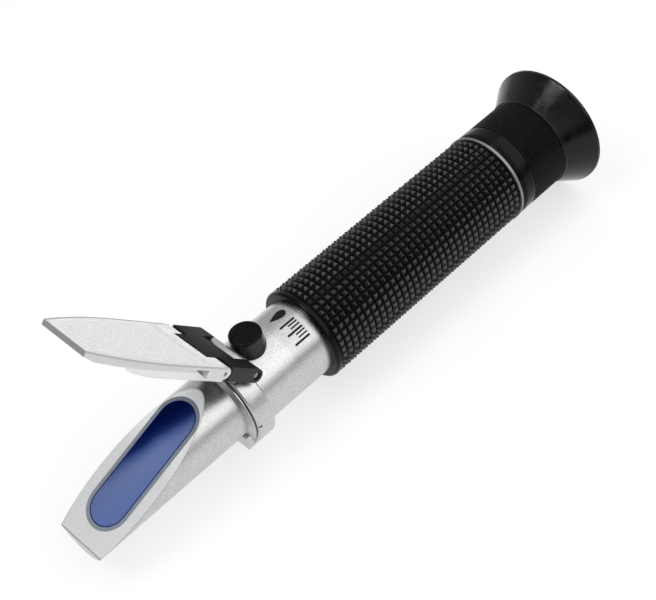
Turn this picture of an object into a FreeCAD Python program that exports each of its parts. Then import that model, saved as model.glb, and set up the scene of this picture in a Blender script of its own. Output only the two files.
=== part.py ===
import FreeCAD, Part
import math
import os
import re
import Sketcher
from FreeCAD import Placement, Rotation, Vector

# Hand-held refractometer.  Millimetres, +Z up, +X along the tube towards the eyepiece.
# The origin is on the tube axis, in the middle of the bare stretch of barrel where a clamp holds it.
# At rest the clear daylight plate stands open above the prism.

doc = FreeCAD.newDocument("refractometer")
sheet = doc.addObject("Spreadsheet::Sheet", "Dimensions")

DIMENSIONS = {
    # barrel tube and rubber grip
    "barrel_radius": 12.15, "barrel_front": -18.0, "barrel_rear": 85.9, "barrel_bore": 10.4,
    "spigot_radius": 10.95, "spigot_front": -23.9, "thread_radius": 9.9, "thread_rear": -15.5,
    "grip_front": 6.0, "grip_rear": 85.0, "grip_radius": 14.75, "grip_lip_round": 2.1,
    "band_radius": 14.9, "seat_gap": 0.05, "running_gap": 0.05,
    # prism housing, its slanted face and the stadium-shaped prism
    "tip_front": -76.75, "tip_height": -6.3, "face_angle": 19.7, "housing_radius": 10.6,
    "flange_front": -25.1, "flange_rim_front": -24.5, "flange_rear": -24.2,
    "flange_radius": 13.35, "flange_flat": 12.75,
    "light_bore": 8.3, "light_bore_front": -30.0, "prism_bore": 6.5, "prism_bore_front": -38.0,
    "prism_start": 6.1, "prism_length": 39.6, "prism_half_width": 6.05, "prism_depth": 4.6,
    "sealant_width": 1.15, "sealant_depth": 1.6, "stop_front": -17.0, "stop_thick": 0.8,
    "stop_half_width": 4.0, "stop_half_height": 3.0, "gasket_inset": 0.15, "face_tool": 70.0,
    # hinge collar, its boss and its foot
    "collar_radius": 14.5, "collar_edge": 0.45, "collar_flat": 12.5, "foot_flat": 14.1,
    "boss_half_width": 6.1, "boss_front": -20.6, "knuckle_radius": 2.0,
    "lug_front": -26.0, "lug_half_width": 9.6, "lug_top": -6.7, "lug_bottom": -11.6,
    "notch_half_width": 0.4, "notch_depth": 0.7, "notch_length": 1.2,
    "set_screw_radius": 1.25, "set_screw_x": -21.0,
    # flap: link and daylight plate, measured from the collar pin
    "hinge_x": -18.6, "hinge_z": 15.0, "flap_angle": 46.4, "pin_radius": 0.8,
    "link_half_width": 12.1, "link_half_thick": 2.0, "link_front": 10.7, "tongue_front": 15.3,
    "tongue_half_width": 6.4, "cutout_front": 4.7, "recess_radius": 1.25, "recess_depth": 0.5,
    "plate_pin_x": 12.8, "plate_pin_radius": 0.6, "plate_pin_inner": 4.9,
    "plate_length": 59.3, "plate_end_half": 8.15, "plate_half_width": 12.35, "plate_bow": 27.3,
    "plate_top": 1.95, "plate_thick": 2.3, "plate_end_thick": 1.5, "plate_end_run": 3.0,
    "skirt_start": 11.6, "skirt_run": 9.0, "skirt_depth": 3.95, "skirt_rear_depth": 4.0,
    "skirt_inner": 11.0,
    "plate_rear": 15.9, "ear_inner": 6.7, "ear_outer": 12.1, "ear_radius": 1.7, "ear_root": 19.0,
    "flap_clearance": 0.3,
    "window_front": 25.1, "window_rear": 19.8, "window_top": 0.9, "window_bottom": -1.5,
    # calibration screw, its bush and rubber cap
    "cap_x": -11.4, "bush_radius": 2.55, "bush_foot": 9.6, "bush_flange_radius": 3.5,
    "bush_flange_top": 13.1, "screw_radius": 1.5, "screw_foot": 7.2, "screw_head_radius": 2.3,
    "screw_head_foot": 13.6, "screw_head_top": 15.0, "screw_slot_half": 0.3,
    "screw_slot_depth": 0.6, "cap_top": 17.24, "cap_top_radius": 4.62, "cap_side_radius": 4.85,
    "cap_lip_radius": 5.0, "cap_lip_top": 12.9, "cap_foot": 10.9, "cap_bore": 3.6,
    "cap_roof": 15.8, "cap_edge": 0.45,
    # temperature compensator inside the barrel
    "carrier_outer": 9.2, "carrier_inner": 6.8, "carrier_half_length": 2.0, "strip_bottom": -6.4,
    "ledge_gap": 0.1, "strip_thick": 0.4, "strip_half_width": 2.0, "strip_rear": 8.0,
    "strip_screw_radius": 0.6, "strip_screw_half_pitch": 0.9,
    "frame_outer": 6.0, "frame_inner": 5.05, "frame_length": 2.0, "frame_lens_radius": 5.0,
    "spring_half_span": 2.8, "spring_foot": -10.15, "spring_crown": -9.25, "spring_thick": 0.2,
    # objective and glare stops
    "cell_radius": 10.35, "objective_front": 14.0, "objective_bore": 8.0, "objective_lip": 7.0,
    "objective_lip_length": 1.0, "crown_length": 3.5, "flint_length": 2.0, "ring_length": 2.0,
    "ring_bore": 6.8, "objective_rear": 24.0, "lens_radius": 7.95, "lens_curve": 26.0,
    "glare_stop_first": 34.0, "glare_stop_pitch": 16.0, "glare_stop_bore": 7.5,
    # eyepiece
    "sleeve_front": 76.0, "sleeve_rear": 100.0, "sleeve_radius": 12.6, "sleeve_bore": 9.2,
    "sleeve_step": 82.7, "sleeve_lip": 7.5,
    "reticle_front": 80.0, "reticle_thick": 1.5, "reticle_radius": 8.5,
    "focus_front": 86.15, "focus_nose_radius": 13.9, "focus_shoulder": 87.9,
    "focus_radius": 14.74, "focus_rear": 106.0, "focus_wall": 103.2,
    "neck_rear": 109.0, "neck_radius": 13.3, "eye_opening": 8.5,
    "eye_cell_front": 88.0, "eye_cell_flange": 102.0, "eye_cell_rear": 103.0,
    "eye_cell_flange_radius": 11.5, "eye_cell_bore": 8.0, "eye_cell_lip": 6.9,
    "field_lens_front": 89.5, "field_lens_rear": 93.0, "eye_lens_front": 98.0,
    "eye_lens_rear": 101.5,
    "cup_front": 106.05, "bead_radius": 14.95, "bead_waist": 14.7, "bead_rear": 106.7,
    "bead_edge": 0.2, "cup_flare": 115.1, "cup_radius": 20.0, "cup_rear": 116.3,
    "cup_edge": 0.2, "cup_wall": 0.8,
}

ALIAS = re.compile(r"\b[a-z][a-z_]*[a-z]\b")
FUNCTIONS = {"sin", "cos", "tan", "sqrt", "pow"}
sub_parts = []


def fill_sheet():
    for row, (name, size) in enumerate(DIMENSIONS.items(), start=1):
        sheet.set(f"A{row}", name)
        sheet.set(f"B{row}", str(size))
        sheet.setAlias(f"B{row}", name)
    doc.recompute()


def formula(text):
    """Turns plain dimension names into references to the sheet."""
    return ALIAS.sub(lambda m: m[0] if m[0] in FUNCTIONS else f"Dimensions.{m[0]}", text)


def value(text):
    return float(sheet.evalExpression(formula(text)))


def bind(feature, **properties):
    """Binds properties such as Radius to formulas of the sheet's dimensions."""
    for name, text in properties.items():
        feature.setExpression(name, formula(text))
    return feature


def place(feature, x="0", y="0", z="0", axis=(0, 0, 1), turn="0"):
    """Places a feature: its position and its turn about a fixed axis are formulas."""
    feature.Placement = Placement(Vector(value(x), value(y), value(z)),
                                  Rotation(Vector(*axis), value(turn)))
    for name, text in (("Base.x", x), ("Base.y", y), ("Base.z", z), ("Rotation.Angle", turn)):
        if ALIAS.search(text):
            feature.setExpression(f"Placement.{name}", formula(text))
    return feature


def keep(feature, label):
    """Marks a finished sub-part and names its file."""
    feature.Label = label
    sub_parts.append(feature)
    return feature


# ---- sketches and PartDesign bodies -----------------------------------------------------------

def new_sketch(body, name, role):
    sketch = body.newObject("Sketcher::SketchObject", name)
    plane = next(f for f in body.Origin.OriginFeatures if f.Role == role)
    sketch.AttachmentSupport = [(plane, "")]
    sketch.MapMode = "FlatFace"
    return sketch


def fix_point(sketch, geometry, point, corner):
    """Fixes one sketch point at a pair of formulas."""
    for kind, text in zip(("DistanceX", "DistanceY"), corner):
        index = sketch.addConstraint(
            Sketcher.Constraint(kind, -1, 1, geometry, point, value(text)))
        sketch.setExpression(f"Constraints[{index}]", formula(text))


def polygon_sketch(body, name, role, corners):
    """Closed polygon whose corners are pairs of formulas."""
    sketch = new_sketch(body, name, role)
    points = [Vector(value(u), value(v), 0) for u, v in corners]
    for start, end in zip(points, points[1:] + points[:1]):
        sketch.addGeometry(Part.LineSegment(start, end), False)
    for i, corner in enumerate(corners):
        following = (i + 1) % len(corners)
        sketch.addConstraint(Sketcher.Constraint("Coincident", i, 2, following, 1))
        fix_point(sketch, i, 1, corner)
    return sketch


def turned(name, corners, upright=False):
    """Body turned on the tube axis from (x, radius) corners, or a vertical one from (radius, z)."""
    body = doc.addObject("PartDesign::Body", name)
    sketch = polygon_sketch(body, name + "_outline", "XZ_Plane", corners)
    revolution = body.newObject("PartDesign::Revolution", name + "_turning")
    revolution.Profile = sketch
    revolution.ReferenceAxis = (sketch, ["V_Axis" if upright else "H_Axis"])
    revolution.Angle = 360.0
    return body


def ring(name, front, rear, outer, inner):
    return turned(name, [(front, inner), (rear, inner), (rear, outer), (front, outer)])


def side_plate(name, corners, half_width):
    """Body with a side outline in XZ, padded evenly to both sides."""
    body = doc.addObject("PartDesign::Body", name)
    sketch = polygon_sketch(body, name + "_outline", "XZ_Plane", corners)
    pad = body.newObject("PartDesign::Pad", name + "_pad")
    pad.Profile = sketch
    pad.Midplane = True
    bind(pad, Length=f"2*({half_width})")
    return body


def stadium(name, half_width, depth):
    """Stadium body lying on the slanted face over the prism, from the face down to a depth."""
    body = doc.addObject("PartDesign::Body", name)
    sketch = new_sketch(body, name + "_outline", "XY_Plane")
    radius, reach = value(half_width), value(PRISM_STRAIGHT)
    start, end, up = Vector(), Vector(reach, 0, 0), Vector(0, 0, 1)
    quarter = math.pi / 2
    sketch.addGeometry(Part.LineSegment(Vector(0, radius, 0), Vector(reach, radius, 0)), False)
    sketch.addGeometry(Part.ArcOfCircle(Part.Circle(end, up, radius), -quarter, quarter), False)
    sketch.addGeometry(Part.LineSegment(Vector(reach, -radius, 0), Vector(0, -radius, 0)), False)
    sketch.addGeometry(Part.ArcOfCircle(Part.Circle(start, up, radius), quarter, 3 * quarter), False)
    joins = ((0, 2, 1, 2), (2, 1, 1, 1), (2, 2, 3, 2), (0, 1, 3, 1))
    for line, line_end, arc, arc_end in joins:
        sketch.addConstraint(Sketcher.Constraint("Tangent", line, line_end, arc, arc_end))
    fix_point(sketch, 3, 3, ("0", "0"))
    fix_point(sketch, 1, 3, (PRISM_STRAIGHT, "0"))
    index = sketch.addConstraint(Sketcher.Constraint("Radius", 3, radius))
    sketch.setExpression(f"Constraints[{index}]", formula(half_width))
    pad = body.newObject("PartDesign::Pad", name + "_pad")
    pad.Profile = sketch
    pad.Reversed = True
    bind(pad, Length=depth)
    return on_face(body, "prism_start+prism_half_width")


# ---- Part primitives --------------------------------------------------------------------------

def box(name, x, y, z):
    """Box between a pair of formulas along each axis."""
    feature = doc.addObject("Part::Box", name)
    for side, (low, high) in zip(("Length", "Width", "Height"), (x, y, z)):
        feature.setExpression(side, formula(f"({high})-({low})"))
    return place(feature, x[0], y[0], z[0])


def wide_box(name, x, half_width, z):
    return box(name, x, (f"-({half_width})", half_width), z)


def rod(name, along, start, end, radius, x="0", z="0"):
    """Cylinder along X, Y or Z between two formulas."""
    feature = doc.addObject("Part::Cylinder", name)
    bind(feature, Radius=radius, Height=f"({end})-({start})")
    if along == "x":
        return place(feature, start, "0", z, axis=(0, 1, 0), turn="90")
    if along == "y":
        return place(feature, x, start, z, axis=(1, 0, 0), turn="-90")
    return place(feature, x, "0", start)


def combine(kind, name, shapes):
    feature = doc.addObject(kind, name)
    feature.Shapes = list(shapes)
    return feature


def fuse(name, *shapes):
    return combine("Part::MultiFuse", name, shapes)


def common(name, *shapes):
    return combine("Part::MultiCommon", name, shapes)


def cut(name, base, *tools):
    feature = doc.addObject("Part::Cut", name)
    feature.Base = base
    feature.Tool = tools[0] if len(tools) == 1 else fuse(name + "_tools", *tools)
    return feature


# ---- the slanted face and the flap's own frames -----------------------------------------------

PRISM_STRAIGHT = "prism_length-2*prism_half_width"


def on_face(feature, along):
    """Places a feature on the slanted face, X up the slope, at a distance from the tip edge."""
    return place(feature, f"tip_front+({along})*cos(face_angle)", "0",
                 f"tip_height+({along})*sin(face_angle)", axis=(0, 1, 0), turn="-face_angle")


def on_flap(feature):
    """Places a flap piece: origin on the collar pin, -X out along the open daylight plate."""
    return place(feature, "hinge_x", "0", "hinge_z", axis=(0, 1, 0), turn="flap_angle")


def when_closed(feature):
    """Moves a tool from the tube's frame into the flap's own, as the flap lies when closed."""
    return place(feature, "-hinge_x*cos(face_angle)-hinge_z*sin(face_angle)", "0",
                 "hinge_x*sin(face_angle)-hinge_z*cos(face_angle)", axis=(0, 1, 0),
                 turn="face_angle")


def slant_tool(name):
    """Everything above the slanted face."""
    block = doc.addObject("Part::Box", name)
    bind(block, Length="face_tool", Width="face_tool", Height="face_tool")
    on_face(block, "-5")
    block.setExpression("Placement.Base.y", formula("-face_tool/2"))
    return block


def clearance(name, flap_part):
    """Cuts away from a flap piece what the housing, flange and collar fill when it is closed."""
    housing = cut(name + "_housing",
                  rod(name + "_housing_rod", "x", "tip_front-5", "flange_front",
                      "housing_radius+flap_clearance"), slant_tool(name + "_slant"))
    flange = common(name + "_flange",
                    rod(name + "_flange_rod", "x", "flange_front-flap_clearance", "spigot_front",
                        "flange_radius+flap_clearance"),
                    wide_box(name + "_flange_layer", ("flange_front-1", "spigot_front+1"),
                             "collar_radius+5", ("-collar_radius", "flange_flat+seat_gap*4")))
    collar = common(name + "_collar",
                    rod(name + "_collar_rod", "x", "spigot_front-flap_clearance",
                        "barrel_front+5", "collar_radius+flap_clearance"),
                    wide_box(name + "_collar_layer", ("spigot_front-1", "barrel_front+6"),
                             "collar_radius+5", ("-collar_radius", "collar_flat+flap_clearance")))
    return cut(name, flap_part, when_closed(fuse(name + "_room", housing, flange, collar)))


# ---- front end: housing, prism, collar --------------------------------------------------------

def below_lug(name):
    """Room for the collar's foot lug under the housing's flange."""
    block = wide_box(name + "_block", ("flange_front-1", "spigot_front"), "flange_radius+1",
                     ("-flange_radius-1", "lug_top+seat_gap"))
    core = rod(name + "_core", "x", "flange_front-2", "spigot_front+1", "housing_radius")
    return cut(name, block, core)


def above_flat(name):
    """Milled crown of the housing's flange, under the closed link."""
    return wide_box(name, ("flange_front-1", "spigot_front+1"), "flange_radius",
                    ("flange_flat", "flange_radius+1"))


def make_housing():
    blank = turned("housing_blank", [
        ("tip_front", "0"), ("prism_bore_front", "0"), ("prism_bore_front", "prism_bore"),
        ("light_bore_front", "prism_bore"), ("light_bore_front", "light_bore"),
        ("thread_rear", "light_bore"), ("thread_rear", "thread_radius"),
        ("flange_rear", "thread_radius"), ("flange_rear", "flange_radius"),
        ("flange_rim_front", "flange_radius"), ("flange_front", "housing_radius"),
        ("tip_front", "housing_radius")])
    seat = stadium("sealant_seat", "prism_half_width+sealant_width", "sealant_depth")
    pocket = stadium("prism_pocket", "prism_half_width+seat_gap", "prism_depth+seat_gap")
    slant = slant_tool("housing_slant")
    crown = above_flat("flange_crown")
    foot = below_lug("flange_foot")
    keep(cut("housing", blank, slant, crown, foot, seat, pocket), "prism_housing")


def make_prism():
    keep(stadium("prism", "prism_half_width", "prism_depth"), "measuring_prism")
    outer = stadium("sealant_outer", "prism_half_width+sealant_width", "sealant_depth")
    inner = stadium("sealant_inner", "prism_half_width", "sealant_depth+1")
    keep(cut("sealant", outer, inner), "prism_sealant")


def make_aperture_stop():
    disc = rod("stop_disc", "x", "stop_front", "stop_front+stop_thick", "light_bore-seat_gap")
    gate = wide_box("stop_gate", ("stop_front-1", "stop_front+2"), "stop_half_width",
                    ("-stop_half_height", "stop_half_height"))
    keep(cut("stop", disc, gate), "aperture_stop")


def make_gasket():
    whole = ring("gasket_ring", "flange_rear", "spigot_front", "flange_radius-gasket_inset",
                 "thread_radius+seat_gap")
    keep(cut("gasket", whole, above_flat("gasket_crown"), below_lug("gasket_foot")),
         "housing_gasket")


def make_collar():
    band = turned("collar_band", [
        ("spigot_front", "spigot_radius"), ("barrel_front", "spigot_radius"),
        ("barrel_front", "collar_radius-collar_edge"), ("barrel_front-collar_edge", "collar_radius"),
        ("spigot_front+collar_edge", "collar_radius"), ("spigot_front", "collar_radius-collar_edge")])
    whole_length = ("spigot_front-1", "barrel_front+1")
    milled = wide_box("collar_mill", whole_length, "collar_radius", ("collar_flat", "collar_radius+1"))
    foot = wide_box("collar_foot", whole_length, "collar_radius", ("-collar_radius-1", "-foot_flat"))
    notch = wide_box("collar_notch", ("spigot_front-1", "spigot_front+notch_length"),
                     "collar_radius+1", ("-notch_half_width", "notch_half_width"))
    notch_core = rod("notch_core", "x", "spigot_front-2", "spigot_front+3",
                     "collar_radius-notch_depth")
    turned_part = cut("collar_turned", band, milled, foot, cut("collar_notches", notch, notch_core))
    lug_block = wide_box("lug_block", ("lug_front", "spigot_front+1"), "lug_half_width",
                         ("lug_bottom", "lug_top"))
    lug_core = rod("lug_core", "x", "lug_front-1", "spigot_front", "housing_radius+seat_gap")
    lug = cut("lug", lug_block, lug_core)
    base = wide_box("boss_block", ("boss_front", "barrel_front"), "boss_half_width",
                    ("spigot_radius", "hinge_z"))
    knuckle = rod("boss_knuckle", "y", "-boss_half_width", "boss_half_width", "knuckle_radius",
                  "hinge_x", "hinge_z")
    pin_hole = rod("boss_hole", "y", "-boss_half_width-1", "boss_half_width+1", "pin_radius",
                   "hinge_x", "hinge_z")
    screw_hole = rod("set_screw_hole", "y", "0", "collar_radius+1", "set_screw_radius",
                     "set_screw_x")
    bore = rod("collar_bore", "x", "spigot_front", "barrel_front+1", "spigot_radius+seat_gap")
    keep(cut("collar", fuse("collar_whole", turned_part, lug, base, knuckle), pin_hole, screw_hole,
             bore), "hinge_collar")


def make_collar_fasteners():
    screw = rod("set_screw_body", "y", "spigot_radius+0.1", "collar_radius-0.4", "set_screw_radius",
                "set_screw_x")
    socket = doc.addObject("Part::Prism", "set_screw_socket")
    bind(socket, Polygon="6", Circumradius="set_screw_radius*0.6", Height="2")
    place(socket, "set_screw_x", "collar_radius-1.6", "0", axis=(1, 0, 0), turn="-90")
    keep(cut("set_screw", screw, socket), "collar_set_screw")
    keep(rod("pin", "y", "-link_half_width+recess_depth", "link_half_width-recess_depth",
             "pin_radius", "hinge_x", "hinge_z"), "hinge_pin")


# ---- flap: black link and clear daylight plate ------------------------------------------------

def make_link():
    thickness = ("-link_half_thick", "link_half_thick")
    block = wide_box("link_block", ("-link_front", "0"), "link_half_width", thickness)
    knuckle = rod("link_knuckle", "y", "-link_half_width", "link_half_width", "link_half_thick")
    tongue = wide_box("link_tongue", ("-tongue_front", "-link_front+1"), "tongue_half_width",
                      thickness)
    cutout = wide_box("link_cutout", ("-cutout_front", "link_half_thick+1"),
                      "boss_half_width+flap_clearance", ("-link_half_thick-1", "link_half_thick+1"))
    pin_hole = rod("link_hole", "y", "-link_half_width-1", "link_half_width+1",
                   "pin_radius+running_gap")
    near_hole = rod("link_near_hole", "y", "-tongue_half_width-1", "-plate_pin_inner",
                    "plate_pin_radius", "-plate_pin_x")
    far_hole = rod("link_far_hole", "y", "plate_pin_inner", "tongue_half_width+1",
                   "plate_pin_radius", "-plate_pin_x")
    near_recess = rod("link_near_recess", "y", "-link_half_width-1",
                      "-link_half_width+recess_depth", "recess_radius")
    far_recess = rod("link_far_recess", "y", "link_half_width-recess_depth", "link_half_width+1",
                     "recess_radius")
    whole = fuse("link_whole", block, knuckle, tongue)
    bored = cut("link_bored", whole, cutout, pin_hole, near_hole, far_hole, near_recess, far_recess)
    keep(on_flap(clearance("link", bored)), "hinge_link")


def make_plate_pins():
    near = rod("near_stub", "y", "-ear_outer+0.3", "-plate_pin_inner-seat_gap",
               "plate_pin_radius", "-plate_pin_x")
    far = rod("far_stub", "y", "plate_pin_inner+seat_gap", "ear_outer-0.3", "plate_pin_radius",
              "-plate_pin_x")
    keep(on_flap(fuse("stubs", near, far)), "plate_pins")


def plate_plan():
    """Plate body seen from above: a bowed outline from the narrow free end to the hinge end."""
    body = doc.addObject("PartDesign::Body", "plate_plan")
    sketch = new_sketch(body, "plate_outline", "XY_Plane")
    free, bow, rear = "-plate_length", "plate_bow-plate_length", "-plate_pin_x"
    rise = "(plate_half_width-plate_end_half)"
    radius = f"(plate_bow*plate_bow+{rise}*{rise})/(2*{rise})"
    for side in ("-", ""):
        end, wide = (free, f"{side}plate_end_half"), (bow, f"{side}plate_half_width")
        centre = Vector(value(bow), value(f"{side}(plate_half_width-{radius})"), 0)
        half = math.asin(value(f"plate_bow/({radius})"))
        middle = math.pi / 2 if side == "" else -math.pi / 2
        start, stop = sorted((middle, middle + (half if side == "" else -half)))
        circle = Part.Circle(centre, Vector(0, 0, 1), value(radius))
        arc = sketch.addGeometry(Part.ArcOfCircle(circle, start, stop), False)
        straight = sketch.addGeometry(Part.LineSegment(
            Vector(value(wide[0]), value(wide[1]), 0),
            Vector(value(rear), value(wide[1]), 0)), False)
        wide_end, free_end = (1, 2) if side == "" else (2, 1)
        fix_point(sketch, arc, free_end, end)
        sketch.addConstraint(Sketcher.Constraint("Coincident", arc, wide_end, straight, 1))
        fix_point(sketch, straight, 1, wide)
        fix_point(sketch, straight, 2, (rear, wide[1]))
        index = sketch.addConstraint(Sketcher.Constraint("Radius", arc, value(radius)))
        sketch.setExpression(f"Constraints[{index}]", formula(radius))
    near_arc, near_line, far_arc, far_line = range(4)
    for x, first, first_end, second, second_end in (
            (free, near_arc, 1, far_arc, 2), (rear, near_line, 2, far_line, 2)):
        reach = value("plate_end_half") if x == free else value("plate_half_width")
        close = sketch.addGeometry(Part.LineSegment(
            Vector(value(x), -reach, 0), Vector(value(x), reach, 0)), False)
        sketch.addConstraint(Sketcher.Constraint("Coincident", close, 1, first, first_end))
        sketch.addConstraint(Sketcher.Constraint("Coincident", close, 2, second, second_end))
    pad = body.newObject("PartDesign::Pad", "plate_pad")
    pad.Profile = sketch
    bind(pad, Length="plate_top+skirt_rear_depth+1")
    return place(body, z="-skirt_rear_depth-1")


def flap_layer(name, x, half_width, reach):
    """Tool block in the flap's frame, spanning the link's thickness and some more each way."""
    return wide_box(name, x, half_width,
                    (f"-link_half_thick-{reach}", f"link_half_thick+{reach}"))


def skirt_windows():
    """Three-cornered openings through both skirts, next to the ears."""
    prism = side_plate("window_prism", [
        ("-window_front", "window_top"), ("-window_rear", "window_top"),
        ("-window_rear", "window_bottom")], "plate_half_width+1")
    beside = flap_layer("between_skirts", ("-window_front-1", "-window_rear+1"),
                        "skirt_inner-1", 3)
    return cut("skirt_windows", prism, beside)


def skirt_curve(steps=5):
    """Lower edge of the skirts: from the plate's underside down to their full depth."""
    corners = []
    for i in range(steps, -1, -1):
        turn = math.pi / 2 * i / steps
        run, drop = round(1 - math.cos(turn), 4), round(math.sin(turn), 4)
        corners.append((f"-plate_length+skirt_start+skirt_run*{run}",
                        f"plate_top-plate_thick-(skirt_depth-plate_thick)*{drop}"))
    return corners


def make_plate():
    side = side_plate("plate_side", [
        ("-plate_length-1", "plate_top"), ("-plate_pin_x", "plate_top"),
        ("-plate_pin_x", "plate_top-skirt_rear_depth")] + skirt_curve() + [
        ("-plate_length+plate_end_run", "plate_top-plate_thick"),
        ("-plate_length", "plate_top-plate_end_thick"),
        ("-plate_length-1", "plate_top-plate_end_thick")], "plate_half_width+1")
    panel = common("plate_panel", plate_plan(), side)
    hollow = wide_box("plate_hollow", ("-plate_length-1", "-ear_root"), "skirt_inner",
                      ("-link_half_thick-3", "plate_top-plate_thick"))
    slot = flap_layer("plate_slot", ("-plate_rear", "0"), "ear_inner", 3)
    beside_ears = cut("beside_ears",
                      flap_layer("ear_block", ("-plate_pin_x-1", "0"), "plate_half_width+1", 3),
                      flap_layer("ear_core", ("-plate_pin_x-2", "0"), "ear_outer", 4))
    ends = rod("ear_ends", "y", "-ear_outer", "ear_outer", "ear_radius", "-plate_pin_x",
               "plate_top-ear_radius")
    pin_hole = rod("ear_hole", "y", "-ear_outer-1", "ear_outer+1",
                   "plate_pin_radius+running_gap", "-plate_pin_x")
    whole = fuse("plate_whole", cut("plate_trimmed", panel, beside_ears), ends)
    bored = cut("plate_bored", whole, hollow, slot, pin_hole, skirt_windows())
    keep(on_flap(clearance("plate", bored)), "daylight_plate")


# ---- calibration screw, bush and cap ----------------------------------------------------------

def make_bush():
    turned_bush = turned("bush_blank", [
        ("screw_radius+running_gap", "bush_foot"), ("bush_radius", "bush_foot"),
        ("bush_radius", "barrel_radius-1"), ("bush_flange_radius", "barrel_radius-1"),
        ("bush_flange_radius", "bush_flange_top"), ("screw_radius+running_gap", "bush_flange_top")],
        upright=True)
    place(turned_bush, "cap_x")
    tube = rod("bush_saddle", "x", "cap_x-10", "cap_x+10", "barrel_radius")
    stem = rod("bush_stem", "z", "bush_foot-1", "bush_flange_top", "bush_radius", "cap_x")
    keep(cut("bush", turned_bush, cut("bush_saddle_tool", tube, stem)), "calibration_bush")


def make_screw():
    blank = turned("screw_blank", [
        ("0", "screw_foot"), ("screw_radius", "screw_foot"), ("screw_radius", "screw_head_foot"),
        ("screw_head_radius", "screw_head_foot"), ("screw_head_radius", "screw_head_top"),
        ("0", "screw_head_top")], upright=True)
    place(blank, "cap_x")
    slot = box("screw_slot", ("cap_x-screw_head_radius-1", "cap_x+screw_head_radius+1"),
               ("-screw_slot_half", "screw_slot_half"),
               ("screw_head_top-screw_slot_depth", "screw_head_top+1"))
    keep(cut("screw", blank, slot), "calibration_screw")


def make_cap():
    blank = turned("cap_blank", [
        ("0", "cap_roof"), ("cap_bore", "cap_roof"), ("cap_bore", "cap_foot"),
        ("cap_lip_radius", "cap_foot"), ("cap_lip_radius", "cap_lip_top"),
        ("cap_side_radius", "cap_lip_top"), ("cap_top_radius", "cap_top-cap_edge"),
        ("cap_top_radius-cap_edge", "cap_top"), ("0", "cap_top")], upright=True)
    place(blank, "cap_x")
    saddle = rod("cap_saddle", "x", "cap_x-10", "cap_x+10", "barrel_radius+2*seat_gap")
    keep(cut("cap", blank, saddle), "screw_cap")


# ---- temperature compensator inside the barrel ------------------------------------------------

STRIP_SCREWS = ("cap_x-strip_screw_half_pitch", "cap_x+strip_screw_half_pitch")


def make_carrier():
    front, rear = "cap_x-carrier_half_length", "cap_x+carrier_half_length"
    hoop = ring("carrier_hoop", front, rear, "carrier_outer", "carrier_inner")
    ledge = common("carrier_ledge",
                   rod("ledge_round", "x", front, rear, "carrier_outer"),
                   wide_box("ledge_block", (front, rear), "carrier_inner",
                            ("-carrier_outer", "strip_bottom-ledge_gap")))
    seat = rod("screw_seat", "z", "screw_foot", "carrier_outer+1", "screw_radius+running_gap",
               "cap_x")
    holes = [rod(f"ledge_hole_{i}", "z", "-carrier_outer+0.6", "strip_bottom+1",
                 "strip_screw_radius", x) for i, x in enumerate(STRIP_SCREWS)]
    keep(cut("carrier", fuse("carrier_whole", hoop, ledge), seat, *holes), "lens_carrier")


def make_strip():
    strip = wide_box("strip_blank", ("cap_x-carrier_half_length", "strip_rear"),
                     "strip_half_width", ("strip_bottom", "strip_bottom+strip_thick"))
    holes = [rod(f"strip_hole_{i}", "z", "strip_bottom-1", "strip_bottom+1",
                 "strip_screw_radius+running_gap", x) for i, x in enumerate(STRIP_SCREWS)]
    keep(cut("strip", strip, *holes), "bimetal_strip")
    head_foot = "strip_bottom+strip_thick+ledge_gap"
    screws = []
    for i, x in enumerate(STRIP_SCREWS):
        screws.append(rod(f"strip_shank_{i}", "z", "-carrier_outer+0.7", head_foot,
                          "strip_screw_radius", x))
        screws.append(rod(f"strip_head_{i}", "z", head_foot, f"{head_foot}+strip_thick",
                          "strip_screw_radius*1.4", x))
    keep(fuse("strip_fasteners", *screws), "strip_screws")


def make_compensator_lens():
    front = "strip_rear-frame_length"
    frame = ring("frame_ring", front, "strip_rear", "frame_outer", "frame_inner")
    keep(frame, "lens_frame")
    keep(rod("compensator", "x", f"{front}+0.2", "strip_rear-0.2", "frame_lens_radius"),
         "compensator_lens")


def make_carrier_spring():
    span, thick = "spring_half_span", "spring_thick"
    leaf = side_plate("spring_leaf", [
        (f"cap_x-{span}", "spring_foot"), ("cap_x-0.6", f"spring_crown-{thick}"),
        ("cap_x+0.6", f"spring_crown-{thick}"), (f"cap_x+{span}", "spring_foot"),
        (f"cap_x+{span}", f"spring_foot+{thick}"), ("cap_x+0.6", "spring_crown"),
        ("cap_x-0.6", "spring_crown"), (f"cap_x-{span}", f"spring_foot+{thick}")],
        "strip_half_width*0.8")
    keep(leaf, "carrier_spring")


# ---- barrel, grip, objective and glare stops --------------------------------------------------

def make_barrel():
    blank = turned("barrel_blank", [
        ("spigot_front", "thread_radius+seat_gap"), ("thread_rear+1", "thread_radius+seat_gap"),
        ("thread_rear+1", "barrel_bore"), ("barrel_rear", "barrel_bore"),
        ("barrel_rear", "barrel_radius"), ("barrel_front", "barrel_radius"),
        ("barrel_front", "spigot_radius"), ("spigot_front", "spigot_radius")])
    hole = rod("bush_hole", "z", "0", "barrel_radius+1", "bush_radius+seat_gap", "cap_x")
    keep(cut("barrel", blank, hole), "barrel_tube")


def rim_edge(shape, along, radius):
    """Name of the circular edge at a place along the tube axis, with a given radius."""
    for i, edge in enumerate(shape.Edges, start=1):
        if not isinstance(edge.Curve, Part.Circle):
            continue
        if (abs(edge.Curve.Radius - value(radius)) < 0.01
                and abs(edge.CenterOfMass.x - value(along)) < 0.01):
            return f"Edge{i}"
    raise RuntimeError(f"no circular edge at {along} with radius {radius}")


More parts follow.
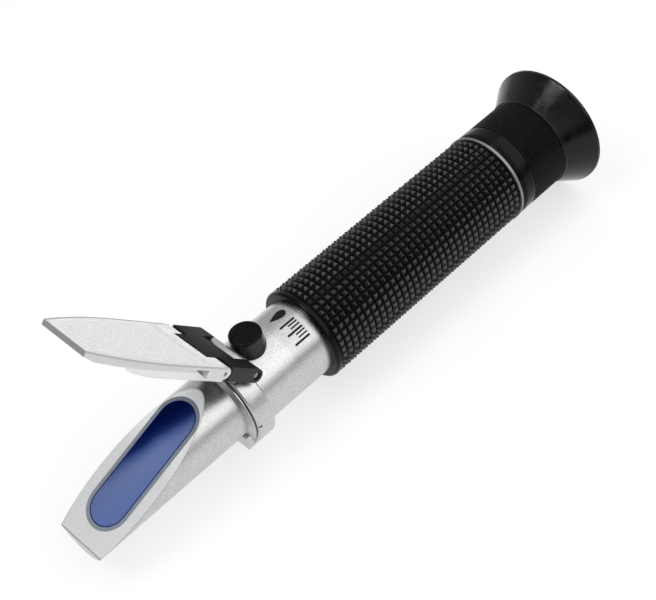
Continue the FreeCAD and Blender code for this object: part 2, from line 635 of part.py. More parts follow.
def make_grip():
    blank = turned("grip_blank", [
        ("grip_front", "barrel_radius+seat_gap"), ("grip_rear", "barrel_radius+seat_gap"),
        ("grip_rear", "grip_radius"), ("grip_front", "grip_radius")])
    doc.recompute()
    turning = blank.Tip
    lip = blank.newObject("PartDesign::Fillet", "grip_lip")
    lip.Base = (turning, [rim_edge(turning.Shape, "grip_front", "grip_radius")])
    bind(lip, Radius="grip_lip_round")
    blank.Tip = lip
    keep(blank, "grip_sleeve")
    keep(ring("end_band", "grip_rear", "barrel_rear", "band_radius", "barrel_radius+seat_gap"),
         "grip_end_band")


def make_objective():
    front = "objective_front"
    keep(turned("objective_cell", [
        (front, "objective_lip"), (f"{front}+objective_lip_length", "objective_lip"),
        (f"{front}+objective_lip_length", "objective_bore"), ("objective_rear", "objective_bore"),
        ("objective_rear", "cell_radius"), (front, "cell_radius")]), "objective_cell")
    crown_front = f"{front}+objective_lip_length"
    crown_rear = f"{crown_front}+crown_length"
    ball = doc.addObject("Part::Sphere", "crown_ball")
    bind(ball, Radius="lens_curve")
    place(ball, f"{crown_front}+lens_curve")
    crown = common("crown", rod("crown_rod", "x", crown_front, crown_rear, "lens_radius"), ball)
    keep(crown, "objective_crown")
    flint_rear = f"{crown_rear}+flint_length"
    keep(rod("flint", "x", crown_rear, flint_rear, "lens_radius"), "objective_flint")
    keep(ring("objective_ring", flint_rear, f"{flint_rear}+ring_length", "lens_radius",
              "ring_bore"), "objective_ring")


def make_glare_stops():
    for i in range(3):
        front = f"glare_stop_first+{i}*glare_stop_pitch"
        keep(ring(f"stop_ring_{i + 1}", front, f"{front}+stop_thick", "cell_radius",
                  "glare_stop_bore"), f"glare_stop_{i + 1}")


# ---- eyepiece ---------------------------------------------------------------------------------

def make_eyepiece_sleeve():
    keep(turned("sleeve", [
        ("sleeve_front", "sleeve_lip"), ("reticle_front", "sleeve_lip"),
        ("reticle_front", "reticle_radius+seat_gap"), ("sleeve_step", "reticle_radius+seat_gap"),
        ("sleeve_step", "sleeve_bore"), ("sleeve_rear", "sleeve_bore"),
        ("sleeve_rear", "sleeve_radius"), ("barrel_rear", "sleeve_radius"),
        ("barrel_rear", "cell_radius"), ("sleeve_front", "cell_radius")]), "eyepiece_sleeve")
    reticle_rear = "reticle_front+reticle_thick"
    keep(rod("reticle_glass", "x", "reticle_front", reticle_rear, "reticle_radius"), "reticle")
    keep(ring("reticle_lock", reticle_rear, "sleeve_step", "reticle_radius", "sleeve_lip"),
         "reticle_ring")


def make_eye_cell():
    keep(turned("eye_cell", [
        ("eye_cell_front", "eye_cell_lip"), ("field_lens_front", "eye_cell_lip"),
        ("field_lens_front", "eye_cell_bore"), ("eye_cell_rear", "eye_cell_bore"),
        ("eye_cell_rear", "eye_cell_flange_radius"), ("eye_cell_flange", "eye_cell_flange_radius"),
        ("eye_cell_flange", "sleeve_bore-running_gap"),
        ("eye_cell_front", "sleeve_bore-running_gap")]), "eyepiece_cell")
    keep(rod("field_glass", "x", "field_lens_front", "field_lens_rear", "lens_radius"), "field_lens")
    keep(ring("lens_spacer", "field_lens_rear", "eye_lens_front", "lens_radius", "ring_bore"),
         "lens_spacer")
    ball = doc.addObject("Part::Sphere", "eye_ball")
    bind(ball, Radius="lens_curve")
    place(ball, "eye_lens_rear-lens_curve")
    keep(common("eye_glass", rod("eye_rod", "x", "eye_lens_front", "eye_lens_rear", "lens_radius"),
                ball), "eye_lens")
    keep(ring("eye_ring", "eye_lens_rear", "eye_cell_rear", "lens_radius", "ring_bore"),
         "eye_lens_ring")


def make_focus_ring():
    keep(turned("focus", [
        ("focus_front", "sleeve_radius+running_gap"), ("focus_wall", "sleeve_radius+running_gap"),
        ("focus_wall", "eye_opening"), ("neck_rear", "eye_opening"),
        ("neck_rear", "neck_radius"), ("focus_rear", "neck_radius"),
        ("focus_rear", "focus_radius"), ("focus_shoulder", "focus_radius"),
        ("focus_front", "focus_nose_radius")]), "focus_ring")


def make_eyecup():
    keep(turned("cup", [
        ("cup_front", "neck_radius+seat_gap"), ("cup_front", "bead_waist"),
        ("cup_front+bead_edge", "bead_radius"), ("bead_rear-bead_edge", "bead_radius"),
        ("bead_rear", "bead_waist"),
        ("cup_flare", "cup_radius-cup_edge"), ("cup_flare+cup_edge", "cup_radius"),
        ("cup_rear-cup_edge", "cup_radius"), ("cup_rear", "cup_radius-cup_edge"),
        ("cup_rear", "cup_radius-cup_wall"), ("neck_rear", "neck_radius+seat_gap")]), "eyecup")


# ---- build, check and write -------------------------------------------------------------------

def check_document():
    doc.recompute()
    failed = [f.Name for f in doc.Objects if {"Invalid", "Error"} & set(f.State)]
    bad = [f.Label for f in sub_parts
           if f.Shape.isNull() or not f.Shape.isValid() or f.Shape.Volume <= 0]
    if failed or bad:
        raise RuntimeError(f"failed features {failed}, bad shapes {bad}")


def write_parts():
    os.makedirs("parts", exist_ok=True)
    for feature in sub_parts:
        feature.Shape.exportStep(f"parts/{feature.Label}.step")
        low, high = feature.Shape.BoundBox.XMin, feature.Shape.BoundBox.XMax
        print(f"{feature.Label:20s} solids {len(feature.Shape.Solids)}  "
              f"x {low:7.2f} to {high:7.2f}  volume {feature.Shape.Volume:9.2f} mm3")
    print(f"{len(sub_parts)} sub-parts")


fill_sheet()
make_housing()
make_prism()
make_aperture_stop()
make_gasket()
make_collar()
make_collar_fasteners()
make_link()
make_plate_pins()
make_plate()
make_bush()
make_screw()
make_cap()
make_carrier()
make_strip()
make_compensator_lens()
make_carrier_spring()
make_barrel()
make_grip()
make_objective()
make_glare_stops()
make_eyepiece_sleeve()
make_eye_cell()
make_focus_ring()
make_eyecup()
check_document()
write_parts()
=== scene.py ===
import math
import bmesh
import bpy
from mathutils import Matrix, Vector


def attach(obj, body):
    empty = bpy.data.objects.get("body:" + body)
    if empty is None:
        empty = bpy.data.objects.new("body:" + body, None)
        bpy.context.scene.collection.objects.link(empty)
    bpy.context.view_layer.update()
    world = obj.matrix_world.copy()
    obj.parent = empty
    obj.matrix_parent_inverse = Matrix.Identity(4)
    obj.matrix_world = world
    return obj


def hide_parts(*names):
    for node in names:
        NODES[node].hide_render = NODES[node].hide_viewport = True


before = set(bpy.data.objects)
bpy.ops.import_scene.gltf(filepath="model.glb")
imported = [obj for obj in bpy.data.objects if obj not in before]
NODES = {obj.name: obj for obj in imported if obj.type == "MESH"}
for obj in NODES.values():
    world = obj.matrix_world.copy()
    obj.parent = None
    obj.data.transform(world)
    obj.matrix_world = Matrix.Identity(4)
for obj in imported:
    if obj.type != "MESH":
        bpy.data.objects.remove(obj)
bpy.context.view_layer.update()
MM = 0.001

# Main places of the CAD model, in millimetres.
BARREL_R = 12.15
HOUSING_R = 10.6
GRIP_FRONT, GRIP_REAR, GRIP_R = 6.0, 85.0, 14.75
GRIP_LIP_END, RING_KNURL_START = 8.1, 91.9
CAP_X, CAP_TOP_Z = -11.4, 16.95
TIP = Vector((-76.75, 0, -6.3))
PRISM_MIDDLE, PRISM_STRAIGHT, PRISM_R = 25.9, 13.75, 6.05
HINGE = Vector((-18.6, 0, 15.0))
PLATE_HALF_WIDTH, PLATE_BOW_START, PLATE_BOW = 12.35, 32.0, 0.00564
FILM_LAYER, INK_LAYER = (12.16, 12.19), (12.17, 12.22)
FLOOR_LEVEL = -0.0203

# Directions of the slanted face and of the open daylight plate.
FACE_ANGLE, FLAP_ANGLE = math.radians(19.7), math.radians(46.4)
FACE_UP = (math.cos(FACE_ANGLE), 0, math.sin(FACE_ANGLE))
FACE_NORMAL = (-math.sin(FACE_ANGLE), 0, math.cos(FACE_ANGLE))
PLATE_OUT = (-math.cos(FLAP_ANGLE), 0, math.sin(FLAP_ANGLE))
PLATE_UP = (math.sin(FLAP_ANGLE), 0, math.cos(FLAP_ANGLE))

# Tints of the greys.
BLACK, WARM, COOL = (0.0, 0.0, 0.0), (1.0, 0.995, 0.985), (0.985, 0.99, 1.0)


# ---- mesh helpers -----------------------------------------------------------------------------

def make_piece(name, verts, faces, body, material, replaces=(), sharp=35.0):
    """A mesh from points in millimetres; edges sharper than an angle in degrees stay crisp."""
    mesh = bpy.data.meshes.new(name)
    mesh.from_pydata([(x * MM, y * MM, z * MM) for x, y, z in verts], [], faces)
    mesh.validate()
    bm = bmesh.new()
    bm.from_mesh(mesh)
    bmesh.ops.recalc_face_normals(bm, faces=bm.faces)
    bm.to_mesh(mesh)
    bm.free()
    obj = bpy.data.objects.new(name, mesh)
    bpy.context.scene.collection.objects.link(obj)
    smooth(obj, sharp)
    mesh.materials.append(material)
    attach(obj, body)
    if replaces:
        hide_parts(*replaces)
    return obj


def smooth(obj, sharp):
    obj.data.shade_smooth()
    obj.data.set_sharp_from_angle(angle=math.radians(sharp))


def rounded(profile, steps=5):
    """Rounds the corners of an open or closed profile of (x, r) or (x, r, radius) corners."""
    out = []
    count = len(profile)
    for i, corner in enumerate(profile):
        here = Vector(corner[:2])
        radius = corner[2] if len(corner) > 2 else 0
        if radius == 0:
            out.append(tuple(here))
            continue
        before = Vector(profile[i - 1][:2]) - here
        after = Vector(profile[(i + 1) % count][:2]) - here
        half = before.angle(after) / 2
        reach = min(radius / math.tan(half), before.length * 0.49, after.length * 0.49)
        radius = reach * math.tan(half)
        middle = (before.normalized() + after.normalized()).normalized()
        centre = here + middle * radius / math.sin(half)
        start = here + before.normalized() * reach - centre
        end = here + after.normalized() * reach - centre
        for k in range(steps + 1):
            arm = start.slerp(end, k / steps)
            out.append(tuple(centre + arm * radius / arm.length))
    return out


def lathe(profile, steps):
    """Points and faces of a closed profile of (x, r) turned about the tube axis."""
    verts = []
    for k in range(steps):
        a = 2 * math.pi * k / steps
        verts += [(x, r * math.sin(a), r * math.cos(a)) for x, r in profile]
    n = len(profile)
    faces = []
    for k in range(steps):
        here, there = k * n, (k + 1) % steps * n
        for i in range(n):
            j = (i + 1) % n
            faces.append((here + i, here + j, there + j, there + i))
    return verts, faces


def upright(profile, x, steps):
    """Like lathe, but about a vertical axis, from (z, r) corners."""
    verts, faces = lathe(profile, steps)
    return [(x + a, b, z) for z, a, b in verts], faces


def knurl(x0, x1, rows, around, radius, depth, groove, top):
    """Rows of square pyramids round the tube, and the loop of points at either end.

    The groove and the top are half the widths of the grooves and of the flat tops, in pitches.
    """
    pitch = (x1 - x0) / rows
    verts, faces = [], []
    offsets = (-0.5 + groove, -top, top, 0.5 - groove)
    low = radius - depth
    for i in range(rows):
        for k in range(around):
            for u in offsets:
                for v in offsets:
                    if (abs(u) == top) != (abs(v) == top):
                        continue
                    r = radius if abs(u) == top else low
                    a = 2 * math.pi * (k + 0.5 + v) / around
                    x = x0 + pitch * (i + 0.5 + u)
                    verts.append((x, -r * math.sin(a), r * math.cos(a)))

    def at(i, k, corner):
        return (i * around + k % around) * 8 + corner

    # corners of a cell: 0, 1, 6, 7 on the ground and 2, 3, 4, 5 on the top
    for i in range(rows):
        for k in range(around):
            g = [at(i, k, c) for c in (0, 1, 7, 6)]
            t = [at(i, k, c) for c in (2, 3, 5, 4)]
            faces.append(tuple(t))
            for s in range(4):
                faces.append((g[s], g[(s + 1) % 4], t[(s + 1) % 4], t[s]))
            beside = [at(i, k + 1, c) for c in (0, 6)]
            faces.append((g[1], beside[0], beside[1], g[2]))
            if i + 1 < rows:
                behind = [at(i + 1, k, c) for c in (0, 1)]
                faces.append((g[3], g[2], behind[1], behind[0]))
                faces.append((g[2], beside[1], at(i + 1, k + 1, 0), behind[1]))
    front = [at(0, k, c) for k in range(around) for c in (0, 1)]
    rear = [at(rows - 1, k, c) for k in range(around) for c in (6, 7)]
    return verts, faces, front, rear


def sleeve(verts, faces, start, end, rings):
    """Closes a knurled band: loops of points, given as (x, r) rings from its rear to its front."""
    count = len(start)
    angles = [math.atan2(-verts[i][1], verts[i][2]) for i in start]
    loops = [end]
    for x, r in rings:
        base = len(verts)
        verts += [(x, -r * math.sin(a), r * math.cos(a)) for a in angles]
        loops.append(list(range(base, base + count)))
    loops.append(start)
    for one, two in zip(loops, loops[1:]):
        for k in range(count):
            m = (k + 1) % count
            faces.append((one[k], one[m], two[m], two[k]))
    return verts, faces


# ---- material helpers -------------------------------------------------------------------------

class Nodes:
    """Short ways to add nodes to a tree."""

    def __init__(self, tree, coordinates):
        self.tree = tree
        self.where = self.add("ShaderNodeTexCoord").outputs[coordinates]

    def add(self, kind, **settings):
        node = self.tree.nodes.new(kind)
        for key, value in settings.items():
            setattr(node, key, value)
        return node

    def link(self, source, target):
        self.tree.links.new(source, target)

    def noise(self, size, detail=3.0, stretch=None, roughness=0.55):
        """Noise with features of a size in millimetres, stretched along the axes if asked."""
        node = self.add("ShaderNodeTexNoise")
        node.inputs["Scale"].default_value = 1000.0 / size
        node.inputs["Detail"].default_value = detail
        node.inputs["Roughness"].default_value = roughness
        source = self.where
        if stretch:
            mapping = self.add("ShaderNodeMapping")
            mapping.inputs["Scale"].default_value = stretch
            self.link(self.where, mapping.inputs["Vector"])
            source = mapping.outputs["Vector"]
        self.link(source, node.inputs["Vector"])
        return node.outputs["Fac"]

    def ramp(self, source, *stops, curve="LINEAR"):
        """Colour ramp of (position, grey or colour) stops."""
        node = self.add("ShaderNodeValToRGB")
        node.color_ramp.interpolation = curve
        elements = node.color_ramp.elements
        while len(elements) < len(stops):
            elements.new(0.5)
        for element, (place, colour) in zip(elements, stops):
            element.position = place
            if isinstance(colour, (int, float)):
                colour = (colour, colour, colour)
            element.color = (*colour, 1)
        self.link(source, node.inputs["Fac"])
        return node.outputs["Color"]

    def span(self, source, low, high, start=0.0, end=1.0):
        """Runs from a start to an end value while the source runs from low to high."""
        node = self.add("ShaderNodeMapRange")
        names = ("From Min", "From Max", "To Min", "To Max")
        for key, value in zip(names, (low, high, start, end)):
            node.inputs[key].default_value = value
        self.link(source, node.inputs["Value"])
        return node.outputs["Result"]

    def math(self, operation, one, two=0.0):
        node = self.add("ShaderNodeMath", operation=operation)
        for socket, value in zip(node.inputs, (one, two)):
            if isinstance(value, (int, float)):
                socket.default_value = value
            else:
                self.link(value, socket)
        return node.outputs["Value"]

    def mix(self, factor, one, two):
        node = self.add("ShaderNodeMix", data_type="RGBA")
        for index, value in ((0, factor), (6, one), (7, two)):
            if isinstance(value, (int, float)):
                node.inputs[index].default_value = value
            elif isinstance(value, tuple):
                node.inputs[index].default_value = (*value, 1)
            else:
                self.link(value, node.inputs[index])
        return node.outputs[2]

    def axis(self, name):
        node = self.add("ShaderNodeSeparateXYZ")
        self.link(self.where, node.inputs["Vector"])
        return node.outputs[name]

    def radius(self):
        """Distance from the tube axis in millimetres."""
        flat = self.add("ShaderNodeVectorMath", operation="MULTIPLY")
        flat.inputs[1].default_value = (0.0, 1.0, 1.0)
        self.link(self.where, flat.inputs[0])
        length = self.add("ShaderNodeVectorMath", operation="LENGTH")
        self.link(flat.outputs["Vector"], length.inputs[0])
        return self.math("MULTIPLY", length.outputs["Value"], 1000.0)

    def along(self, direction, point):
        """Distance in millimetres past a point (millimetres) along a direction."""
        node = self.add("ShaderNodeVectorMath", operation="DOT_PRODUCT")
        node.inputs[1].default_value = tuple(direction)
        self.link(self.where, node.inputs[0])
        offset = Vector(direction).dot(Vector(point))
        scaled = self.math("MULTIPLY", node.outputs["Value"], 1000.0)
        return self.math("SUBTRACT", scaled, offset)


class Shader(Nodes):
    """A principled material."""

    def __init__(self, name, **values):
        self.material = bpy.data.materials.new(name)
        self.material.use_nodes = True
        super().__init__(self.material.node_tree, "Object")
        self.bsdf = self.tree.nodes["Principled BSDF"]
        for key, value in values.items():
            self.bsdf.inputs[key.replace("_", " ")].default_value = value

    def bump(self, height, depth):
        """Bump whose full height is a depth in millimetres."""
        node = self.add("ShaderNodeBump")
        node.inputs["Distance"].default_value = depth * MM
        node.inputs["Strength"].default_value = 1.0
        self.link(height, node.inputs["Height"])
        self.link(node.outputs["Normal"], self.bsdf.inputs["Normal"])

    def colour(self, source):
        self.link(source, self.bsdf.inputs["Base Color"])

    def rough(self, source):
        self.link(source, self.bsdf.inputs["Roughness"])


# ---- materials --------------------------------------------------------------------------------

def blasted_aluminium(name, tone, rough):
    """Bead-blasted aluminium: fine grain, soft cloudy patches, faint turning marks."""
    s = Shader(name, Metallic=1.0)
    fine = s.noise(0.36, 4.0, roughness=0.7)
    cloudy = s.noise(9.0, 3.0)
    turning = s.noise(1.2, 2.0, stretch=(6.0, 0.12, 0.12))
    grey = s.span(fine, 0.36, 0.64, tone * 0.80, tone * 1.16)
    grey = s.math("MULTIPLY", grey, s.span(cloudy, 0.3, 0.7, 0.965, 1.02))
    s.colour(s.mix(grey, BLACK, WARM))
    wear = s.math("ADD", s.span(fine, 0.25, 0.75, rough - 0.07, rough + 0.09),
                  s.span(turning, 0.3, 0.7, -0.03, 0.03))
    s.rough(wear)
    s.bump(s.math("ADD", fine, s.math("MULTIPLY", turning, 0.25)), 0.014)
    return s.material


def slanted_face_aluminium():
    """The housing: blasted cylinder, a more matt milled face, dark lines of painted shade at the
    face's edge, and the face painted lighter towards its upper end.
    """
    s = Shader("housing_aluminium", Metallic=1.0)
    height = s.math("ABSOLUTE", s.along(FACE_NORMAL, TIP))
    rise = s.along(FACE_UP, TIP)
    on_face = s.span(height, 0.02, 0.05, 1.0, 0.0)
    fine = s.noise(0.38, 4.0, roughness=0.7)
    cloudy = s.noise(9.0, 3.0)
    # painted shade: dark lines along the face's side edges, fading up the face, and across its tip
    near_face = s.math("MULTIPLY", s.span(height, 0.10, 0.22, 1.0, 0.0),
                       s.span(s.radius(), HOUSING_R - 0.18, HOUSING_R - 0.02))
    near_face = s.math("MULTIPLY", near_face, s.span(rise, 14.0, 30.0, 0.8, 0.25))
    tip_edge = s.math("MULTIPLY", s.span(rise, 0.12, 0.34, 1.0, 0.0), on_face)
    edge_shade = s.math("MAXIMUM", near_face, tip_edge)
    tube_grey = s.math("MULTIPLY", s.span(fine, 0.36, 0.64, 0.45, 0.65),
                       s.span(cloudy, 0.3, 0.7, 0.965, 1.02))
    # painted light: the face is made up to half again lighter towards its upper end, to offset the
    # plate's shade there
    face_grey = s.math("MULTIPLY", s.span(fine, 0.36, 0.64, 0.53, 0.66),
                       s.span(rise, 26.0, 50.0, 1.0, 1.5))
    tone = s.mix(on_face, s.mix(tube_grey, BLACK, WARM), s.mix(face_grey, BLACK, COOL))
    s.colour(s.mix(edge_shade, tone, (0.20, 0.20, 0.205)))
    s.rough(s.math("ADD", s.span(fine, 0.25, 0.75, 0.29, 0.41),
                   s.math("MULTIPLY", on_face, 0.24)))
    s.bump(fine, 0.014)
    return s.material


def prism_glass():
    """Blue prism with painted reflection and shade: navy under the hinge, paler towards the tip
    where light leaves it, darker towards the far side.
    """
    s = Shader("prism_blue_glass", IOR=1.3, Specular_IOR_Level=0.05)
    rise = s.along(FACE_UP, TIP)
    across = s.math("MULTIPLY", s.axis("Y"), 1000.0)
    # painted reflection: the blue runs from pale at the tip to navy under the hinge, slanted across
    # the face
    slanted = s.math("ADD", rise, s.math("MULTIPLY", across, 2.4))
    cloud = s.noise(7.0, 2.0)
    place = s.math("ADD", s.span(slanted, 0.0, 50.0), s.span(cloud, 0.3, 0.7, -0.015, 0.015))
    tone = s.ramp(place, (0.0, (0.110, 0.160, 0.385)), (0.30, (0.132, 0.188, 0.415)),
                  (0.5, (0.155, 0.212, 0.430)), (0.59, (0.128, 0.186, 0.400)),
                  (0.69, (0.052, 0.096, 0.310)), (0.77, (0.003, 0.014, 0.115)),
                  (0.92, (0.000, 0.005, 0.060)), curve="B_SPLINE")
    # painted shade: darker towards the far side
    tone = s.mix(s.span(across, -1.0, 5.5, 1.0, 0.78), BLACK, tone)
    # distance from the middle line of the stadium, for a dark line inside its edge
    from_middle = s.math("ABSOLUTE", s.math("SUBTRACT", rise, PRISM_MIDDLE))
    beyond = s.math("MAXIMUM", s.math("SUBTRACT", from_middle, PRISM_STRAIGHT), 0.0)
    reach = s.math("POWER", s.math("ADD", s.math("MULTIPLY", beyond, beyond),
                                   s.math("MULTIPLY", across, across)), 0.5)
    edge = s.span(reach, PRISM_R - 0.45, PRISM_R - 0.2)
    s.colour(s.mix(edge, tone, (0.006, 0.014, 0.10)))
    s.rough(s.span(s.noise(0.8), 0.3, 0.7, 0.05, 0.09))
    s.bump(s.noise(12.0, 1.0), 0.01)
    return s.material


def grey_sealant():
    s = Shader("sealant_grey")
    s.colour(s.ramp(s.noise(1.1, 4.0), (0.3, (0.165, 0.195, 0.24)), (0.7, (0.225, 0.255, 0.30))))
    s.rough(s.span(s.noise(0.5), 0.3, 0.7, 0.38, 0.55))
    s.bump(s.noise(0.6, 3.0), 0.02)
    return s.material


def rubber(name, tone, rough, shine, bump=0.006, grooves=None):
    """Black rubber: fine moulded grain, uneven gloss, and grooves between two radii that dull, with
    their specular turned down as painted shade.
    """
    s = Shader(name, IOR=1.48, Specular_IOR_Level=shine)
    grain = s.noise(0.30, 3.0, roughness=0.65)
    patch = s.noise(2.2, 4.0)
    shade = s.math("MULTIPLY", s.span(grain, 0.35, 0.65, 0.5, 1.6),
                   s.span(patch, 0.3, 0.7, 0.7, 1.4))
    s.colour(s.mix(s.math("MULTIPLY", shade, tone), BLACK, (1.0, 1.0, 1.03)))
    gloss = s.math("ADD", s.span(grain, 0.3, 0.7, rough - 0.04, rough + 0.04),
                   s.span(patch, 0.35, 0.65, -0.07, 0.07))
    # painted shade in the grooves: the specular runs from 0.04 in the grooves up to the full shine
    # on the tops
    if grooves:
        radius = s.radius()
        gloss = s.math("ADD", gloss, s.span(radius, *grooves, 0.30, 0.0))
        s.link(s.span(radius, *grooves, 0.04, shine), s.bsdf.inputs["Specular IOR Level"])
    s.rough(gloss)
    s.bump(grain, bump)
    return s.material


def link_plastic():
    """Black moulded plastic, grained and dull, with painted light: its end faces are painted greyer
    than its top.
    """
    s = Shader("link_plastic", Specular_IOR_Level=0.07)
    grain = s.noise(0.32, 4.0, roughness=0.7)
    side = s.math("ABSOLUTE", s.math("MULTIPLY", s.axis("Y"), 1000.0))
    top = s.ramp(grain, (0.36, (0.003, 0.003, 0.003)), (0.66, (0.014, 0.014, 0.015)))
    end = s.ramp(grain, (0.36, (0.035, 0.035, 0.036)), (0.66, (0.060, 0.060, 0.062)))
    # painted light: the end faces at the link's sides are greyer than the top
    s.colour(s.mix(s.span(side, 11.75, 12.0), top, end))
    s.rough(s.span(grain, 0.3, 0.7, 0.46, 0.60))
    s.bump(grain, 0.02)
    return s.material


def plate_acrylic():
    """The daylight plate: clear rims, skirts and ears, a frosted panel, and dark edge lines of
    painted shade.
    """
    s = Shader("plate_acrylic", IOR=1.49)
    reach = s.along(PLATE_OUT, HINGE)
    height = s.along(PLATE_UP, HINGE)
    side = s.axis("Y")
    run = s.math("MAXIMUM", s.math("SUBTRACT", reach, PLATE_BOW_START), 0.0)
    bow = s.math("MULTIPLY", s.math("MULTIPLY", run, run), PLATE_BOW)
    half_width = s.math("SUBTRACT", PLATE_HALF_WIDTH, bow)
    rim = s.math("SUBTRACT", half_width, s.math("ABSOLUTE", s.math("MULTIPLY", side, 1000.0)))
    # painted refraction: the clear rim and its edge line are painted wider on the far side
    far_side = s.span(side, -0.001, 0.001)
    line_rim = s.math("SUBTRACT", rim, s.math("MULTIPLY", far_side, 0.35))
    panel_rim = s.math("SUBTRACT", rim, far_side)
    inside = s.math("MULTIPLY", s.span(panel_rim, 1.35, 1.6), s.span(reach, 56.9, 56.5))
    inside = s.math("MULTIPLY", inside, s.span(reach, 19.2, 19.5))
    panel = s.math("MULTIPLY", inside, s.span(height, -0.6, -0.45))
    end_band = s.span(reach, 59.1, 59.25)
    on_top = s.span(height, 1.3, 1.6)
    # painted shade: dark lines along the plate's top edges, stronger on the far side, across it
    # near the hinge end and along the panel's border
    edge = s.math("MULTIPLY", s.span(line_rim, 0.20, 0.50, 1.0, 0.0), on_top)
    edge = s.math("MULTIPLY", edge, s.span(far_side, 0.0, 1.0, 0.6, 1.0))
    for place, wide in ((18.9, 0.10), (20.3, 0.07)):
        line = s.math("ABSOLUTE", s.math("SUBTRACT", reach, place))
        line = s.span(line, wide, wide + 0.08, 1.0, 0.0)
        line = s.math("MULTIPLY", line, s.span(rim, 1.2, 1.4))
        edge = s.math("MAXIMUM", edge, s.math("MULTIPLY", line, 0.8))
    for place in (0.75, 1.45):
        line = s.math("ABSOLUTE", s.math("SUBTRACT", panel_rim, place))
        line = s.math("MULTIPLY", s.span(line, 0.05, 0.14, 1.0, 0.0), on_top)
        line = s.math("MULTIPLY", line, s.span(reach, 58.0, 57.0))
        edge = s.math("MAXIMUM", edge, s.math("MULTIPLY", line, 0.42))
    grain = s.noise(0.42, 4.0, roughness=0.75)
    cloud = s.noise(4.0, 2.0)
    frost = s.ramp(grain, (0.36, (0.60, 0.60, 0.605)), (0.62, (0.97, 0.97, 0.965)))
    clear = s.ramp(cloud, (0.35, (0.96, 0.98, 0.99)), (0.65, (1.0, 1.0, 1.0)))
    tone = s.mix(panel, clear, frost)
    tone = s.mix(edge, tone, (0.26, 0.27, 0.28))
    s.colour(s.mix(end_band, tone, (0.32, 0.33, 0.34)))
    see_through = 0.38
    for mask, less in ((panel, 0.30), (edge, 0.30), (end_band, 0.28)):
        see_through = s.math("SUBTRACT", see_through, s.math("MULTIPLY", mask, less))
    s.link(see_through, s.bsdf.inputs["Transmission Weight"])
    rough = s.math("ADD", s.span(cloud, 0.3, 0.7, 0.03, 0.10), s.math("MULTIPLY", panel, 0.5))
    s.rough(s.math("ADD", rough, s.math("MULTIPLY", end_band, 0.3)))
    s.bump(s.math("MULTIPLY", grain, s.span(panel, 0.0, 1.0, 0.15, 1.0)), 0.02)
    return s.material


def optical_glass():
    s = Shader("optical_glass", Transmission_Weight=1.0, IOR=1.52, Coat_Weight=0.6)
    s.colour(s.ramp(s.noise(9.0), (0.3, (0.90, 0.93, 0.97)), (0.7, (0.95, 0.95, 0.97))))
    s.rough(s.span(s.noise(2.0), 0.3, 0.7, 0.01, 0.03))
    return s.material


def turned_metal(name, colour, rough):
    """Turned metal: fine rings of tool marks and a little tarnish."""
    s = Shader(name, Metallic=1.0)
    marks = s.noise(0.5, 3.0, stretch=(5.0, 5.0, 0.6))
    stain = s.noise(2.5, 4.0)
    s.colour(s.mix(s.span(stain, 0.35, 0.65), colour, tuple(c * 0.8 for c in colour)))
    s.rough(s.span(marks, 0.3, 0.7, rough - 0.06, rough + 0.08))
    s.bump(marks, 0.006)
    return s.material


def anodised_black():
    s = Shader("anodised_black", Metallic=0.6)
    fine = s.noise(0.25, 3.0)
    s.colour(s.ramp(fine, (0.3, (0.012, 0.012, 0.013)), (0.7, (0.028, 0.028, 0.03))))
    s.rough(s.span(fine, 0.3, 0.7, 0.42, 0.55))
    s.bump(fine, 0.005)
    return s.material


def label_film():
    s = Shader("label_film_clear", IOR=1.12, Transmission_Weight=1.0)
    s.colour(s.ramp(s.noise(2.0), (0.3, 0.93), (0.7, 0.97)))
    s.rough(s.span(s.noise(0.4), 0.3, 0.7, 0.01, 0.04))
    return s.material


def printed_ink():
    s = Shader("printed_ink", Specular_IOR_Level=0.12)
    s.colour(s.ramp(s.noise(0.35, 4.0), (0.3, (0.004, 0.004, 0.005)),
                    (0.75, (0.014, 0.014, 0.015))))
    s.rough(s.span(s.noise(0.4), 0.3, 0.7, 0.32, 0.5))
    return s.material


ALUMINIUM = blasted_aluminium("barrel_aluminium", 0.58, 0.32)
COLLAR = blasted_aluminium("collar_aluminium", 0.57, 0.33)
BAND = blasted_aluminium("band_aluminium", 0.26, 0.46)
HOUSING = slanted_face_aluminium()
PRISM = prism_glass()
SEALANT = grey_sealant()
GRIP_RUBBER = rubber("grip_rubber", 0.0015, 0.18, 0.66, bump=0.002, grooves=(13.94, 14.40))
LIP_RUBBER = rubber("grip_lip_rubber", 0.002, 0.20, 0.12, bump=0.001)
# painted light and shade: one cap rubber in two copies, the side given more shine for painted
# highlights, the top less shine and a darker tone for painted shade
CAP_RUBBER = rubber("cap_rubber", 0.003, 0.27, 0.38)
CAP_TOP = rubber("cap_top_rubber", 0.002, 0.25, 0.09)
LINK_PLASTIC = link_plastic()
EYEPIECE = rubber("eyepiece_plastic", 0.003, 0.24, 0.24, bump=0.003, grooves=(14.44, 14.66))
SMOOTH_RING = rubber("eyepiece_smooth_ring", 0.002, 0.20, 0.12, bump=0.002)
EYECUP = rubber("eyecup_rubber", 0.0025, 0.20, 0.26, bump=0.002)
ACRYLIC = plate_acrylic()
OPTICAL = optical_glass()
STEEL = turned_metal("turned_steel", (0.30, 0.30, 0.31), 0.38)
BRASS = turned_metal("turned_brass", (0.75, 0.58, 0.28), 0.3)
BIMETAL = turned_metal("bimetal_strip", (0.68, 0.60, 0.46), 0.34)
ANODISED = anodised_black()
FILM = label_film()
INK = printed_ink()

